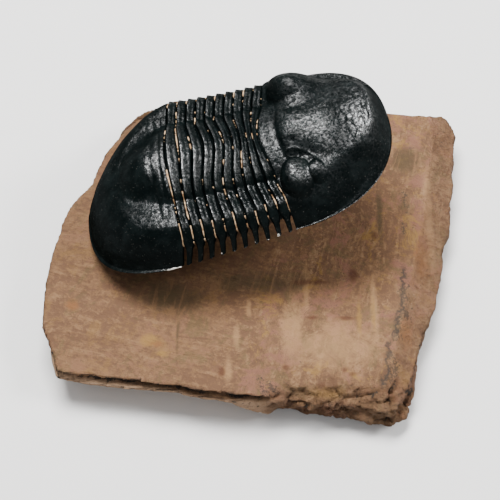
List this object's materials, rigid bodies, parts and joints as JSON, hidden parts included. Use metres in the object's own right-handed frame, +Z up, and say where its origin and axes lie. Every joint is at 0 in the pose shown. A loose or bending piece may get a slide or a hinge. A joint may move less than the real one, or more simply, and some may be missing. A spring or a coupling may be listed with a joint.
{
  "type": "trilobite fossil",
  "caption": "Black trilobite fossil with head shield, narrow spiny body segments and broad tail shield, left raised on a stem above a flat broken block of pale limestone.",
  "frame": {"origin": "middle of the block's flat underside, on the plane it rests on", "axes": "+Z up, +X from the animal's tail towards its head, +Y towards the animal's far side"},
  "size_m": [0.1084, 0.0936, 0.0517],
  "materials": {
    "limestone": "pale tan limestone, matte, fine streaks of tool marks",
    "black_shell": "polished black calcite, semi-gloss, finely wrinkled"
  },
  "bodies": {
    "root": {"rock": "limestone", "head_shield": "black_shell", "body_segment_01": "black_shell", "body_segment_02": "black_shell", "body_segment_03": "black_shell", "body_segment_04": "black_shell", "body_segment_05": "black_shell", "body_segment_06": "black_shell", "body_segment_07": "black_shell", "body_segment_08": "black_shell", "body_segment_09": "black_shell", "body_segment_10": "black_shell", "tail_shield": "black_shell"}
  },
  "joints": []
}
